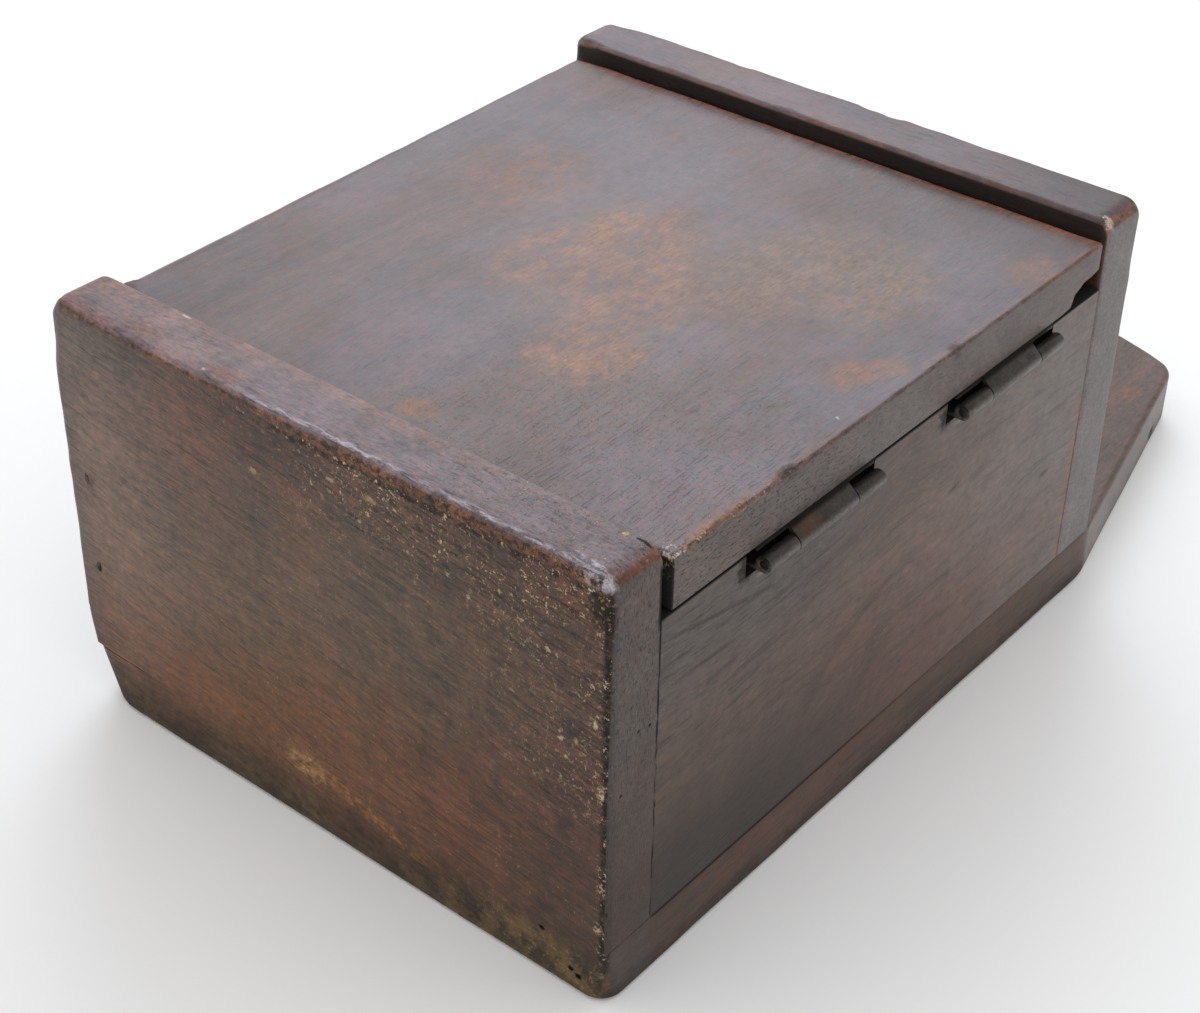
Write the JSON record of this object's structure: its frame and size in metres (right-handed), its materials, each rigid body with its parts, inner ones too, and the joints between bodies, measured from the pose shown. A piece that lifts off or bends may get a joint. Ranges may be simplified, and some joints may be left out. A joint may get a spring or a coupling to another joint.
{
  "type": "letter box",
  "caption": "Wall-hung wooden letter box with a side-hinged door, a letter slot in its top board, a hook catch and a tapered hanging tab on its back board.",
  "frame": {"origin": "centre of the overall box at the back board's rear face", "axes": "+X from the bottom board to the hanging tab, which is up when the box hangs on a wall; +Y from the hinge side to the catch side; +Z from the back board out to the door"},
  "size_m": [0.275, 0.1546, 0.103],
  "materials": {
    "back_wood": "worn dark stain, satin",
    "case_wood": "worn dark stain, satin",
    "door_wood": "worn dark stain with rubbed patches, satin",
    "hinge_iron": "blackened, with rust",
    "dark_iron": "blackened",
    "catch_brass": "tarnished"
  },
  "bodies": {
    "case": {"back_board": "back_wood", "bottom_board": "case_wood", "top_board": "case_wood", "hinge_side": "case_wood", "catch_side": "case_wood", "lower_hinge_case_leaf": "hinge_iron", "upper_hinge_case_leaf": "hinge_iron", "lower_hinge_pin": "dark_iron", "upper_hinge_pin": "dark_iron", "lower_hinge_case_screws": "dark_iron", "upper_hinge_case_screws": "dark_iron", "bottom_board_nails": "dark_iron", "top_board_nails": "dark_iron", "back_board_side_nails": "dark_iron", "back_board_end_nails": "dark_iron", "catch_pivot_screw": "catch_brass"},
    "door": {"door": "door_wood", "lower_hinge_door_leaf": "hinge_iron", "upper_hinge_door_leaf": "hinge_iron", "lower_hinge_door_screws": "dark_iron", "upper_hinge_door_screws": "dark_iron", "catch_stud": "catch_brass"},
    "catch": {"catch_hook": "catch_brass"}
  },
  "joints": [
    {"name": "door_swing", "type": "hinge", "parent": "case", "child": "door", "pos_m": [-0.0425, -0.0755, 0.0838], "axis": [1, 0, 0], "range_deg": [0, 180]},
    {"name": "catch_swing", "type": "hinge", "parent": "case", "child": "catch", "pos_m": [-0.0455, 0.07505, 0.0695], "axis": [0, -1, 0], "range_deg": [-90, 180]}
  ]
}
